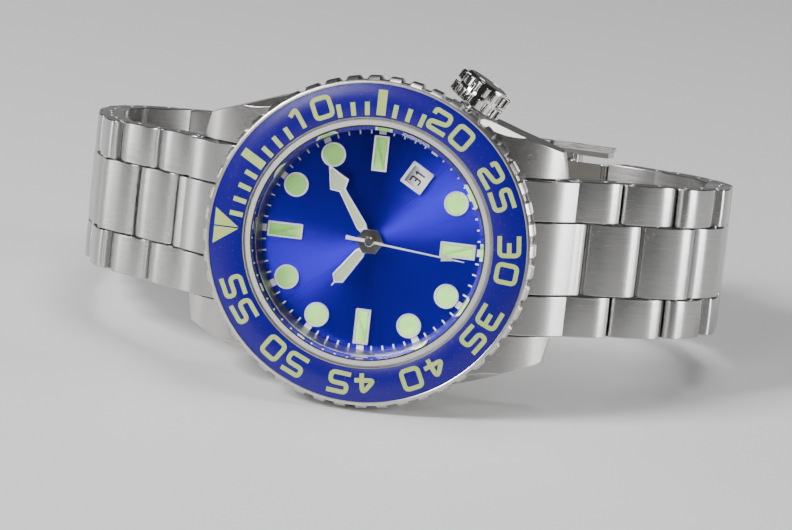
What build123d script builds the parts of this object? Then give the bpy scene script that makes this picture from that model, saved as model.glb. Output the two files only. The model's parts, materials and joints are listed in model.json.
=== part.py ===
"""Automatic diver's wristwatch on a three-row steel bracelet with a folding clasp.

The watch is modelled in its own dial frame (millimetres): +Z out of the dial, +X to 3 o'clock,
+Y to 12 o'clock, origin on the dial's face.  LAY_DOWN then lays it on its 9 o'clock side, leaning
back on the clasp, with +X of the part running from 12 to 6 o'clock.
"""
from build123d import *
from math import atan2, cos, degrees, hypot, radians, sin
import os

# ---- driving dimensions: head -------------------------------------------------------------
LUG_WIDTH = 22.0
CASE_R = 21.6
CASE_BOTTOM = -7.5
SHOULDER_Z = 1.2
NECK_R = 17.1
NECK_TOP = 5.3
CASE_BORE_R = 16.3
CRYSTAL_R = 16.0
CRYSTAL_SEAT_Z = 3.1
CRYSTAL_TOP = 5.6
BEZEL_R = 22.9
BEZEL_TEETH = 48
BEZEL_RIM_R = 22.2
INSERT_IN_R = 17.35
INSERT_OUT_R = 21.9
INSERT_TOP_IN = 5.55
INSERT_TOP_OUT = 5.3
INSERT_BASE = 4.7
RUN = 0.05                      # radial and axial clearance of a running fit

# ---- dial and hands -----------------------------------------------------------------------
DIAL_R = 16.2
DIAL_T = 0.4
MARKER_H = 0.35
BATON_R = 12.06                 # centre radius of the rectangular hour markers
BATON_LEN = 4.9
BATON_WID = 2.1
DOT_R = 12.9                    # centre radius of the round hour markers
DOT_DIA = 3.4
FRAME_W = 0.25                  # metal rim round each luminous fill
DATE_R = 10.77
DATE_WIN = 2.7
DATE_ANGLE = -30.0              # 4 o'clock
HOUR_ANGLE = -304.9             # hands at about ten past ten, clockwise from 12
MINUTE_ANGLE = -55.8
SECOND_ANGLE = -185.3
HOUR_LEN = 8.2
MINUTE_LEN = 13.2
SECOND_LEN = 13.4
SECOND_TAIL = 3.3
BOSS_R = 1.9
HOUR_Z = 1.3
MINUTE_Z = 1.85
SECOND_Z = 2.4
HAND_T = 0.18

# ---- crown --------------------------------------------------------------------------------
CROWN_ANGLE = -30.0             # 4 o'clock
CROWN_Z = -2.75
CROWN_R = 4.0
CROWN_IN = 23.1
CROWN_OUT = 26.9
CROWN_TEETH = 16
CROWN_PULL = 1.5
STEM_R = 0.5

# ---- movement (26 mm round, 21 600 beats an hour) -------------------------------------------
MOVT_R = 13.0
PLATE_TOP = -1.3
PLATE_BOT = -2.6
BRIDGE_TOP = -5.3
BRIDGE_BOT = -6.2
TRAIN_ANGLE = 150.0             # third wheel's direction from the centre
BARREL_ANGLE = -30.0
ESCAPE_ANGLE = 210.0
BALANCE_ANGLE = 250.0
BALANCE_DIST = 8.6
BALANCE_R = 3.9
MINUTE_WHEEL_ANGLE = 90.0

# ---- bracelet -----------------------------------------------------------------------------
PITCH = 8.8
LINK_T = 3.8
CENTRE_HALF = 5.07
ROW_GAP = 0.06
KNUCKLE_R = 2.15                # rounded end about a pin
RECESS_R = 2.30                 # hollow end that clears it
CLASP_RECESS_R = 3.4            # deeper hollow that lets the clasp's ears swing past
PIN_R = 0.6
FIRST_PIN = (26.9, -7.2)        # (distance from the dial's axis, height) of each end link's pin
END_SLOPE = 33.0
SLOPES_12 = (40, 41, 70, 78, 86, 106, 136, 164, 186, 184)
SLOPES_6 = (33, 35, 62, 88, 114, 138, 154)
LAST_HALF = 10.0                # half width of the links next to the clasp
SPRING_BAR = (23.7, -5.6)

# ---- clasp --------------------------------------------------------------------------------
CLASP_HALF = 11.6
CLASP_WALL = 0.9
BLADE_HALF = 9.7
BLADE_T = 0.9
COVER_N = 2.3                   # underside of the cover's plate above the pin line
COVER_T = 0.9


def clock(radius, angle, z=0.0):
    """A point at a radius and an angle counted anticlockwise from 3 o'clock."""
    return (radius * cos(radians(angle)), radius * sin(radians(angle)), z)


def disc(radius, z0, z1, bore=0.0):
    """A round plate about +Z between two heights, with an optional bore."""
    body = Pos(0, 0, z0) * Cylinder(radius, z1 - z0, align=(Align.CENTER, Align.CENTER, Align.MIN))
    if bore:
        body -= Pos(0, 0, z0 - 1) * Cylinder(bore, z1 - z0 + 2, align=(Align.CENTER, Align.CENTER, Align.MIN))
    return body


def turned(*points):
    """A body turned about +Z from (radius, height) points."""
    return revolve(make_face(Plane.XZ * Polyline(*points, close=True)), Axis.Z)


def slab(points, z0, z1):
    """A flat outline extruded between two heights."""
    return extrude(Pos(0, 0, z0) * Polygon(*points, align=None), z1 - z0, dir=(0, 0, 1))


def gear(module, teeth, z0, z1, bore=0.0, phase=0.0):
    """A spur wheel with straight-flanked teeth; a tooth is centred on the phase angle."""
    pitch_r = module * teeth / 2
    step = 360.0 / teeth
    points = []
    for tooth in range(teeth):
        middle = phase + tooth * step
        for part_of_step, radius in ((-0.26, -1.25), (-0.10, 0.9), (0.10, 0.9), (0.26, -1.25)):
            points.append(clock(pitch_r + radius * module, middle + part_of_step * step)[:2])
    wheel = slab(points, z0, z1)
    if bore:
        wheel -= disc(bore, z0 - 1, z1 + 1)
    return wheel


def mesh_phase(teeth, angle):
    """Phase that puts a gap, not a tooth, at the given angle."""
    return angle + 180.0 / teeth


# ------------------------------------------------------------------------------- case
def lugs():
    plan = slab([(11.05, 8), (11.05, 25.6), (14.7, 24.7), (17.9, 15.6), (20.4, 7)], -9, 1.1)
    crest = Plane.YZ * (
        Polyline((25.6, -5.2), (25.6, -7.4), (24.4, -8.6), (22.0, -8.6), (18.5, CASE_BOTTOM),
                 (4, CASE_BOTTOM), (4, 1.1), (15.5, 1.1))
        + ThreePointArc((15.5, 1.1), (22.4, -1.5), (25.6, -5.2))
    )
    lug = plan & extrude(make_face(crest), 25, both=True)
    bevel = Plane(origin=(17.0, 19.0, -0.2), x_dir=(-3.2, 9.1, -3.4), z_dir=(0.66, 0.24, 0.71))
    lug -= bevel * Box(40, 20, 6, align=(Align.CENTER, Align.CENTER, Align.MIN))
    hole = Pos(11.0, *SPRING_BAR) * Rot(0, 90, 0) * Cylinder(
        0.45, 1.4, align=(Align.CENTER, Align.CENTER, Align.MIN))
    lug -= hole
    pair = lug + mirror(lug, Plane.YZ)
    return pair + mirror(pair, Plane.XZ)


def mid_case():
    body = turned(
        (17.0, CASE_BOTTOM), (19.2, CASE_BOTTOM), (21.0, -5.6), (CASE_R, -4.0), (CASE_R, 0.8),
        (21.2, SHOULDER_Z), (NECK_R, SHOULDER_Z), (NECK_R, NECK_TOP - 0.25), (NECK_R - 0.25, NECK_TOP),
        (16.25, NECK_TOP), (16.25, CRYSTAL_SEAT_Z), (15.7, CRYSTAL_SEAT_Z), (15.7, 2.6), (CASE_BORE_R, 2.6),
        (CASE_BORE_R, -6.3), (17.0, -6.3))
    body += lugs() - disc(17.5, -9, 2)
    body -= disc(19.4, 0.7, 2.0, 18.2)
    return body - Rot(0, 0, CROWN_ANGLE) * radial_rod(1.6, 10, 30)


def radial_rod(radius, r0, r1):
    """A rod along the crown's axis before it is turned to 4 o'clock."""
    return Pos(r0, 0, CROWN_Z) * Rot(0, 90, 0) * Cylinder(
        radius, r1 - r0, align=(Align.CENTER, Align.CENTER, Align.MIN))


def click_spring():
    ring = disc(19.3, 0.78, 1.08, 18.3)
    return ring - Pos(18.8, 0, 1) * Box(3, 1.5, 2)


def crown_tube():
    tube = radial_rod(1.6, 19.0, 22.6) - radial_rod(0.9, 18.0, 23.0)
    return Rot(0, 0, CROWN_ANGLE) * (tube & disc(30, -9, 2, 18.0))


def case_back():
    back = turned((0, -6.9), (16.25, -6.9), (16.25, -6.35), (16.95, -6.35), (16.95, CASE_BOTTOM - 0.02),
                  (18.6, CASE_BOTTOM - 0.02), (18.6, -8.2), (17.4, -8.9), (0, -8.9))
    for k in range(6):
        back -= Rot(0, 0, 60 * k) * Pos(17.6, 0, -8.6) * Box(2.6, 3.2, 1.0)
    return back


def case_back_gasket():
    return Pos(0, 0, -6.62) * Torus(15.95, 0.27) & disc(20, -6.85, -6.36)


def crystal():
    return turned((0, 3.2), (CRYSTAL_R, 3.2), (CRYSTAL_R, CRYSTAL_TOP - 0.35), (CRYSTAL_R - 0.4, CRYSTAL_TOP),
                  (0, CRYSTAL_TOP))


def crystal_gasket():
    return turned((15.75, 3.1), (16.25, 3.1), (16.25, 5.2), (16.0, 5.2), (16.0, 3.2), (15.75, 3.2))


def rehaut_ring():
    return turned((15.3, 0.0), (16.2, 0.0), (16.2, 2.6), (15.75, 2.6))


# ------------------------------------------------------------------------------- bezel
def bezel_ring():
    ring = turned(
        (NECK_R + RUN, 1.26), (BEZEL_R - 0.7, 1.26), (BEZEL_R, 1.9), (BEZEL_R, 4.5), (BEZEL_RIM_R, 5.4),
        (INSERT_OUT_R, 5.4), (INSERT_OUT_R, INSERT_BASE), (INSERT_IN_R, INSERT_BASE), (INSERT_IN_R, 5.35),
        (NECK_R + RUN, 5.35))
    half = radians(360 / BEZEL_TEETH / 2)
    notch_root = BEZEL_R - 0.55
    notch = Polygon((notch_root, -0.45), (BEZEL_R + 0.3, -0.80), (BEZEL_R + 0.3, 0.80), (notch_root, 0.45),
                    align=None)
    cutter = extrude(Pos(0, 0, 0.5) * notch, 6, dir=(0, 0, 1))
    for tooth in range(BEZEL_TEETH):
        ring -= Rot(0, 0, degrees(half) * (2 * tooth + 1)) * cutter
    return ring


def bezel_insert():
    return turned((INSERT_IN_R, INSERT_BASE), (INSERT_OUT_R, INSERT_BASE), (INSERT_OUT_R, INSERT_TOP_OUT),
                  (INSERT_IN_R, INSERT_TOP_IN))


def bezel_lume():
    """Luminous triangle at zero, laid into the insert."""
    tri = slab([(0, 17.8), (2.55, 21.3), (-2.55, 21.3)], 4.8, 6.0)
    skin = turned((INSERT_IN_R, INSERT_TOP_IN), (INSERT_OUT_R, INSERT_TOP_OUT),
                  (INSERT_OUT_R, INSERT_TOP_OUT + 0.04), (INSERT_IN_R, INSERT_TOP_IN + 0.04))
    return tri & skin


# ------------------------------------------------------------------------------- dial
def dot_angles():
    """Round markers at 1, 2, 5, 7, 8, 10 and 11 o'clock."""
    return [90 - 30 * hour for hour in (1, 2, 5, 7, 8, 10, 11)]


def baton_angles():
    """Rectangular markers at 12, 3, 6 and 9 o'clock."""
    return [90, 0, -90, 180]


def dial():
    plate = disc(DIAL_R, -DIAL_T, 0, 1.2)
    return plate - Rot(0, 0, DATE_ANGLE) * Pos(DATE_R, 0, 0) * Box(DATE_WIN, DATE_WIN, 2)


def hour_markers():
    """Metal rims of the hour markers and of the date window."""
    rims = []
    for angle in baton_angles():
        rim = Box(BATON_LEN, BATON_WID, MARKER_H) - Box(BATON_LEN - 2 * FRAME_W, BATON_WID - 2 * FRAME_W, 1)
        rims.append(Rot(0, 0, angle) * Pos(BATON_R, 0, MARKER_H / 2) * rim)
    for angle in dot_angles():
        rim = Cylinder(DOT_DIA / 2, MARKER_H) - Cylinder(DOT_DIA / 2 - FRAME_W, 1)
        rims.append(Rot(0, 0, angle) * Pos(DOT_R, 0, MARKER_H / 2) * rim)
    window = Box(DATE_WIN + 0.7, DATE_WIN + 0.7, MARKER_H) - Box(DATE_WIN, DATE_WIN, 1)
    rims.append(Rot(0, 0, DATE_ANGLE) * Pos(DATE_R, 0, MARKER_H / 2) * window)
    return Compound(children=rims)


def hour_marker_lume():
    fills = []
    height = MARKER_H - 0.07
    for angle in baton_angles():
        fill = Box(BATON_LEN - 2 * FRAME_W, BATON_WID - 2 * FRAME_W, height)
        fills.append(Rot(0, 0, angle) * Pos(BATON_R, 0, height / 2) * fill)
    for angle in dot_angles():
        fill = Cylinder(DOT_DIA / 2 - FRAME_W, height)
        fills.append(Rot(0, 0, angle) * Pos(DOT_R, 0, height / 2) * fill)
    return Compound(children=fills)


# ------------------------------------------------------------------------------- hands
def hexagon(radius):
    """Flat-sided boss of a hand."""
    return [clock(radius, 30 + 60 * k)[:2] for k in range(6)]


def both_sides(half):
    """A closed outline from its right half, listed from the tail to the tip."""
    return half + [(-x, y) for x, y in reversed(half) if x > 0]


def hour_hand():
    """Sword hand with a needle tip."""
    half = [(0.35, 1.2), (0.75, 2.3), (0.95, 6.9), (0.1, 7.6), (0.07, HOUR_LEN)]
    blade = slab(both_sides(half), HOUR_Z, HOUR_Z + HAND_T)
    boss = slab(hexagon(BOSS_R), HOUR_Z, HOUR_Z + HAND_T)
    return Rot(0, 0, HOUR_ANGLE) * (blade + boss - disc(1.08, HOUR_Z - 1, HOUR_Z + 1))


def minute_hand():
    """Arrow hand: tapered shaft, kite-shaped head, needle tip."""
    half = [(0.35, 1.2), (0.75, 2.3), (0.47, 7.95), (1.5, 8.85), (0.09, 11.8), (0.06, MINUTE_LEN)]
    blade = slab(both_sides(half), MINUTE_Z, MINUTE_Z + HAND_T)
    boss = slab(hexagon(BOSS_R), MINUTE_Z, MINUTE_Z + HAND_T)
    return Rot(0, 0, MINUTE_ANGLE) * (blade + boss - disc(0.77, MINUTE_Z - 1, MINUTE_Z + 1))


def seconds_hand():
    """Needle with a small arrow near its tip and a flared tail."""
    half = [(0.3, -SECOND_TAIL), (0.14, 0), (0.1, 10.2), (0.55, 10.25), (0.1, 12.1), (0.05, SECOND_LEN)]
    blade = slab(both_sides(half), SECOND_Z, SECOND_Z + HAND_T)
    hub = disc(0.65, SECOND_Z, SECOND_Z + 0.3)
    return Rot(0, 0, SECOND_ANGLE) * (blade + hub - disc(0.25, SECOND_Z - 1, SECOND_Z + 0.2))


# ------------------------------------------------------------------------------- movement
def at(radius, angle, body):
    return Pos(*clock(radius, angle)) * body


def main_plate():
    plate = disc(MOVT_R, PLATE_BOT, PLATE_TOP, 0.9)
    plate += disc(MOVT_R, PLATE_TOP, -0.85, 9.3)
    channel = Rot(0, 0, CROWN_ANGLE) * Pos(10.5, 0, CROWN_Z) * Box(9, 1.8, 2.2)
    return plate - channel


def movement_holder():
    ring = disc(16.2, -6.2, -DIAL_T, MOVT_R)
    return ring - Rot(0, 0, CROWN_ANGLE) * radial_rod(0.8, 12, 18)


def train_bridge():
    """Bridge over the going train, carried on three pillars and holding the wheels' lower pivots."""
    bridge = disc(12.6, BRIDGE_BOT, BRIDGE_TOP)
    for angle in (0, 110, 305):
        bridge += at(11.6, angle, disc(0.8, BRIDGE_TOP, PLATE_BOT))
    bridge += disc(1.0, -6.6, BRIDGE_BOT)
    return bridge


CENTRE_DIST = 4.5
BARREL_M = 0.13
BARREL_DIST = BARREL_M * (80 + 10) / 2
ESCAPE_M = 0.09
ESCAPE_DIST = ESCAPE_M * (84 + 7) / 2


def centre_wheel():
    """Carries the cannon pinion and the minute hand; turns once an hour."""
    module = CENTRE_DIST / 42.5
    wheel = gear(module, 75, -3.2, -3.0, phase=TRAIN_ANGLE)
    pinion = gear(BARREL_M, 10, -3.62, -3.38, phase=BARREL_ANGLE)
    cannon = gear(1 / 6, 12, -1.25, -0.98, phase=MINUTE_WHEEL_ANGLE)
    pipe = disc(0.6, -3.62, -1.2) + disc(0.75, -1.25, MINUTE_Z + HAND_T)
    body = wheel + pinion + cannon + pipe
    return body - disc(0.3, -4, 3)


def third_wheel():
    wheel = gear(0.1, 80, -3.85, -3.68, phase=TRAIN_ANGLE + 180)
    pinion = gear(CENTRE_DIST / 42.5, 10, -3.68, -2.85, phase=mesh_phase(10, TRAIN_ANGLE + 180))
    return at(CENTRE_DIST, TRAIN_ANGLE, wheel + pinion + disc(0.2, BRIDGE_TOP, PLATE_BOT))


def fourth_wheel():
    """Turns once a minute and carries the seconds hand."""
    wheel = gear(ESCAPE_M, 84, -5.1, -4.92, phase=ESCAPE_ANGLE)
    pinion = gear(0.1, 10, -3.9, -3.66, phase=mesh_phase(10, TRAIN_ANGLE))
    return wheel + pinion + disc(0.3, BRIDGE_TOP, -3.8) + disc(0.24, -3.8, SECOND_Z + 0.2)


def escape_wheel():
    pinion = gear(ESCAPE_M, 7, -5.15, -4.8, phase=mesh_phase(7, ESCAPE_ANGLE + 180))
    points = []
    for tooth in range(15):
        for radius, lead in ((1.7, 0), (2.2, 6), (2.2, 8), (1.7, 9)):
            points.append(clock(radius, 24 * tooth + lead)[:2])
    wheel = slab(points, -4.8, -4.65)
    return at(ESCAPE_DIST, ESCAPE_ANGLE, pinion + wheel + disc(0.15, BRIDGE_TOP, PLATE_BOT))


def balance_wheel():
    rim = disc(BALANCE_R, -4.35, -4.0, BALANCE_R - 0.5)
    arms = Pos(0, 0, -4.175) * Box(2 * BALANCE_R - 0.6, 0.5, 0.2)
    staff = disc(0.3, -5.2, -3.0) + disc(0.9, -4.6, -4.45)
    return at(BALANCE_DIST, BALANCE_ANGLE, rim + arms + staff)


def pallet_fork():
    """Lever between the escape wheel and the balance, held clear of the escape wheel's teeth."""
    start = Vector(*clock(ESCAPE_DIST, ESCAPE_ANGLE))
    end = Vector(*clock(BALANCE_DIST, BALANCE_ANGLE))
    heading = degrees(atan2(end.Y - start.Y, end.X - start.X))
    lever = Pos(0.25, 0, 0) * Box(2.3, 0.35, 0.16) + Cylinder(0.22, 0.5)
    lever += Pos(-0.65, 0, 0) * Box(0.3, 2.2, 0.16)
    return Pos(start.X, start.Y, -4.72) * Rot(0, 0, heading) * Pos(3.3, 0, 0) * lever


def barrel():
    """Mainspring barrel: toothed drum and arbor."""
    drum = gear(BARREL_M, 80, -3.62, -3.4, phase=mesh_phase(80, BARREL_ANGLE + 180)) + disc(4.6, -4.8, -3.5)
    return at(BARREL_DIST, BARREL_ANGLE, drum + disc(0.7, BRIDGE_TOP, -3.45))


def minute_wheel():
    wheel = gear(1 / 6, 36, -1.25, -0.98, bore=0.3, phase=mesh_phase(36, MINUTE_WHEEL_ANGLE + 180))
    pinion = gear(0.16, 10, -0.98, -0.6, bore=0.3, phase=MINUTE_WHEEL_ANGLE + 180)
    return at(4.0, MINUTE_WHEEL_ANGLE, wheel + pinion)


def hour_wheel():
    wheel = gear(0.16, 40, -0.9, -0.65, phase=mesh_phase(40, MINUTE_WHEEL_ANGLE))
    return wheel + disc(1.07, -0.9, HOUR_Z + HAND_T) - disc(0.8, -2, 3)


def date_ring():
    ring = disc(12.4, -0.72, -0.5, 9.0)
    for k in range(31):
        ring -= Pos(*clock(9.0, 360 / 31 * k)) * Cylinder(0.38, 3)
    return ring


def rotor():
    """Winding rotor: a half disc with a heavy rim on a central bearing."""
    plate = disc(12.0, -6.78, -6.4, 1.05) & Pos(0, -20.6, -6.5) * Box(60, 42.6, 2)
    rim = disc(12.4, -6.8, -6.25, 10.6) & Pos(0, -20, -6.5) * Box(60, 40, 2)
    hub = disc(2.2, -6.78, -6.25, 1.05)
    return plate + rim + hub


# ------------------------------------------------------------------------------- crown
def crown():
    """Knurled crown with two toothed rims, a groove between them and a raised end disc."""
    body = radial_rod(CROWN_R - 0.55, CROWN_IN, CROWN_OUT - 0.2)
    body += radial_rod(CROWN_R - 1.0, CROWN_OUT - 0.3, CROWN_OUT)
    rims = radial_rod(CROWN_R, CROWN_IN + 0.1, CROWN_IN + 1.55)
    rims += radial_rod(CROWN_R, CROWN_IN + 2.0, CROWN_OUT - 0.35)
    slot = Pos(0, 0, CROWN_R) * Box(8, 0.75, 1.1)
    for tooth in range(CROWN_TEETH):
        rims -= Pos(CROWN_IN + 1.8, 0, CROWN_Z) * Rot(360 / CROWN_TEETH * tooth, 0, 0) * slot
    body += rims
    body -= radial_rod(1.75, CROWN_IN - 1, CROWN_IN + 1.2)
    return Rot(0, 0, CROWN_ANGLE) * body


def winding_stem():
    round_part = radial_rod(STEM_R, 10.2, CROWN_IN + 1.2)
    square = Pos(7.0, 0, CROWN_Z) * Box(6.4, 0.6, 0.6, align=(Align.MIN, Align.CENTER, Align.CENTER))
    return Rot(0, 0, CROWN_ANGLE) * (round_part + square)


def clutch_wheel():
    """Sliding pinion on the stem's square."""
    sleeve = radial_rod(0.65, 7.4, 8.1)
    for k in range(10):
        sleeve -= Pos(7.2, 0, CROWN_Z) * Rot(36 * k, 0, 0) * Pos(0, 0, 0.65) * Box(0.6, 0.16, 0.2)
    sleeve -= Pos(8, 0, CROWN_Z) * Box(6, 0.62, 0.62)
    return Rot(0, 0, CROWN_ANGLE) * sleeve


# ------------------------------------------------------------------------------- bracelet
def pins(slopes, first=FIRST_PIN, pitch=PITCH):
    """Pin places along one half of the bracelet as (distance from the dial's axis, height)."""
    places = [first]
    for slope in slopes:
        y, z = places[-1]
        places.append((y + pitch * cos(radians(slope)), z - pitch * sin(radians(slope))))
    return places


PINS_12 = pins(SLOPES_12)
PINS_6 = pins(SLOPES_6)


def link_frame(side, pin, slope):
    """Plane at a pin: local x along the bracelet, local y outwards; side is +1 at 12 o'clock."""
    along = (0, side * cos(radians(slope)), -sin(radians(slope)))
    return Plane(origin=(0, side * pin[0], pin[1]), x_dir=along, z_dir=(side, 0, 0))


def half_width(index):
    """The bracelet tapers from the lugs to the clasp."""
    return max(LAST_HALF, LUG_WIDTH / 2 - 0.1 - 0.13 * index)


def across(profile, x0, x1):
    """Extrude a side profile between two places across the bracelet."""
    return extrude(Pos(0, 0, x0) * profile, x1 - x0, dir=(0, 0, 1))


def row_profile(knuckle_at, recess_at):
    """Side outline of one row piece: round about its own pin, hollow about its neighbour's."""
    low, high = sorted((knuckle_at, recess_at))
    band = Pos((low + high) / 2, 0) * Rectangle(3 * PITCH, LINK_T)
    bar = Pos((low + high) / 2, 0) * Rectangle(high - low, LINK_T)
    knuckle = (Pos(knuckle_at, 0) * Circle(KNUCKLE_R)) & band
    return bar + knuckle - Pos(recess_at, 0) * Circle(RECESS_R)


def softened(piece, x0, x1):
    """Round a row piece's long edges."""
    width = x1 - x0
    section = Plane.YZ * Pos(0, (x0 + x1) / 2) * RectangleRounded(LINK_T, width, 0.35)
    return piece & extrude(section, 3 * PITCH, both=True)


def link(index, ends_at_clasp=False, pitch=PITCH):
    """One bracelet link in its own frame: two outer pieces, a centre piece, a fixed pin, a hinge pin.

    The link at the clasp is cut back further and carries the spring bar, its tips drawn in.
    """
    half = half_width(index)
    inner = CENTRE_HALF + ROW_GAP
    solids = []
    outer = across(row_profile(0, pitch), inner, half)
    outer = softened(outer, inner, half)
    hinge_hole = Cylinder(PIN_R, 60)
    fixed_hole = Pos(pitch / 2, 0, 0) * Cylinder(PIN_R, 60)
    outer = outer - hinge_hole - fixed_hole
    if ends_at_clasp:
        outer -= Pos(pitch, 0, 0) * Cylinder(CLASP_RECESS_R, 60)
        solids.append(Pos(pitch, 0, 0) * Cylinder(PIN_R, 2 * (CLASP_HALF - CLASP_WALL) - 0.4))
    solids.append(outer)
    solids.append(mirror(outer, Plane.XY))
    centre = across(row_profile(pitch, 0), -CENTRE_HALF, CENTRE_HALF)
    centre = softened(centre, -CENTRE_HALF, CENTRE_HALF)
    centre = centre - fixed_hole - Pos(pitch, 0, 0) * Cylinder(PIN_R + RUN, 60)
    solids.append(centre)
    solids.append(Cylinder(PIN_R, 2 * half - 0.6))
    solids.append(Pos(pitch / 2, 0, 0) * Cylinder(PIN_R, 2 * half - 0.6))
    return solids


def placed_link(side, places, slopes, index):
    frame = link_frame(side, places[index], slopes[index])
    ends_at_clasp = side > 0 and index == len(slopes) - 1
    return Compound(children=[frame * solid for solid in link(index, ends_at_clasp)])


def end_link(side):
    """Solid end link between the lugs, shaped to the case, with its pin knuckle and three-row face."""
    y, z = FIRST_PIN
    n = (sin(radians(END_SLOPE)) * LINK_T / 2, cos(radians(END_SLOPE)) * LINK_T / 2)
    top = (y + n[0], z + n[1])
    low = (y - n[0], z - n[1])
    edge = Polyline(top, low, (24.0, -8.5), (20.5, -7.6), (20.0, 0.75))
    edge += ThreePointArc((20.0, 0.75), (24.6, -1.9), top)
    outline = make_face(Plane.YZ * edge)
    axis_x = Plane.YZ * Pos(y, z)
    frame = link_frame(1, FIRST_PIN, END_SLOPE)
    knuckle = frame * ((Circle(KNUCKLE_R)) & Rectangle(3 * PITCH, LINK_T))
    inner = CENTRE_HALF + ROW_GAP
    half = LUG_WIDTH / 2 - RUN
    whole = Plane.YZ * Pos(24, -4) * Rectangle(30, 30)
    middle = extrude(whole, CENTRE_HALF, both=True)
    wings = extrude(outline, half, both=True) - axis_x * Cylinder(RECESS_R, 60) - middle
    core = extrude(outline, CENTRE_HALF, both=True) + extrude(knuckle, CENTRE_HALF, both=True)
    piece = core + wings
    grooves = extrude(whole, inner, both=True) - middle
    piece -= grooves - Pos(0, -0.45, -0.6) * extrude(outline, 20, both=True)
    piece -= extrude(axis_x * Circle(RECESS_R + 0.01), inner, both=True) - middle
    piece -= axis_x * Cylinder(PIN_R + RUN, 60)
    piece -= Pos(0, *SPRING_BAR) * Rot(0, 90, 0) * Cylinder(0.92, 60)
    piece -= disc(CASE_R + 0.04, -12, 4)
    return piece if side > 0 else Rot(0, 0, 180) * piece


def lug_spring_bars():
    bar = Cylinder(0.9, 21.6) + Cylinder(0.42, 24.2)
    bar = Rot(0, 90, 0) * bar
    y, z = SPRING_BAR
    return Compound(children=[Pos(0, y, z) * bar, Pos(0, -y, z) * bar])


# ------------------------------------------------------------------------------- clasp
def clasp_line():
    """Start, length and slope of the clasp, from the last 6 o'clock pin to the last 12 o'clock pin."""
    start = PINS_6[-1]
    end = PINS_12[-1]
    run = (start[0] + end[0], start[1] - end[1])
    return hypot(*run), degrees(atan2(run[1], -run[0]))


CLASP_LEN, CLASP_SLOPE = clasp_line()
CLASP_FRAME = link_frame(-1, PINS_6[-1], CLASP_SLOPE)
FAR_HINGE = CLASP_LEN - 7.0     # blade-to-blade hinge, along the clasp
PLATE_END = CLASP_LEN - 4.2     # the cover's plate stops short of the link that swings under it
WALL_START = -0.4               # the cover's side walls reach past the last link's end
NEAR_HINGE = 5.2                # blade-to-cover hinge
NEAR_HINGE_N = 1.25
FLAP_PIVOT = 12.0
FLAP_N = 2.7
BUTTON_S = 19.0
BUTTON_N = 0.7


def bar_box(s0, s1, n0, n1, half):
    return Pos((s0 + s1) / 2, (n0 + n1) / 2, 0) * Box(s1 - s0, n1 - n0, 2 * half)


def eye(s, n, radius, half):
    return Pos(s, n, 0) * Cylinder(radius, 2 * half)


def clasp_blade_inner():
    blade = bar_box(3.2, FAR_HINGE, -1.25, -1.25 + BLADE_T, BLADE_HALF)
    ears = eye(0, 0, 1.3, BLADE_HALF) + bar_box(0, 4.0, -1.25, -0.2, BLADE_HALF)
    ears -= eye(0, 0, RECESS_R, CENTRE_HALF + ROW_GAP)
    body = blade + ears + eye(FAR_HINGE, 0, 1.25, BLADE_HALF)
    body -= eye(FAR_HINGE, 0, 1.5, 4.0)
    body -= eye(FAR_HINGE, 0, PIN_R, 30)
    body -= eye(0, 0, PIN_R, 30)
    pins_in = [eye(0, 0, PIN_R, BLADE_HALF), eye(FAR_HINGE, 0, PIN_R, BLADE_HALF)]
    return Compound(children=[CLASP_FRAME * solid for solid in [body] + pins_in])


def clasp_blade_outer():
    low = 0.35
    blade = bar_box(NEAR_HINGE, FAR_HINGE - 1.8, low, low + BLADE_T, BLADE_HALF)
    tongue = bar_box(FAR_HINGE - 2.4, FAR_HINGE, 0.35, 1.2, 3.9) + eye(FAR_HINGE, 0, 1.2, 3.9)
    knuckle = eye(NEAR_HINGE, NEAR_HINGE_N, 0.95, BLADE_HALF)
    body = blade + tongue + knuckle
    body -= eye(FAR_HINGE, 0, PIN_R + RUN, 30)
    body -= eye(NEAR_HINGE, NEAR_HINGE_N, 0.5, 30)
    pin = eye(NEAR_HINGE, NEAR_HINGE_N, 0.5, CLASP_HALF - 0.2)
    return Compound(children=[CLASP_FRAME * solid for solid in (body, pin)])


def clasp_cover():
    """Folded sheet cover: plate and two side walls, ears at the 12 o'clock end for the spring bar."""
    top = COVER_N + COVER_T
    shell = bar_box(WALL_START, PLATE_END, -0.6, COVER_N, CLASP_HALF)
    shell += bar_box(4.8, PLATE_END, COVER_N, top, CLASP_HALF)
    shell -= bar_box(WALL_START - 1, CLASP_LEN, -3, COVER_N, CLASP_HALF - CLASP_WALL)
    tail = bar_box(PLATE_END - 0.2, CLASP_LEN, -0.6, 1.6, CLASP_HALF) + eye(CLASP_LEN, 0, 1.7, CLASP_HALF)
    shell += tail - bar_box(PLATE_END - 1, CLASP_LEN + 4, -3, 5, CLASP_HALF - CLASP_WALL)
    shell -= eye(NEAR_HINGE, NEAR_HINGE_N, 0.5 + RUN, 30)
    shell -= eye(CLASP_LEN, 0, 0.45, 30)
    shell -= eye(BUTTON_S, BUTTON_N, 1.0 + RUN, 30)
    for w in (-1, 1):
        shell -= Pos(FLAP_PIVOT, FLAP_N, w * CLASP_HALF) * Cylinder(0.45, 1.9)
    return CLASP_FRAME * shell


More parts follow.
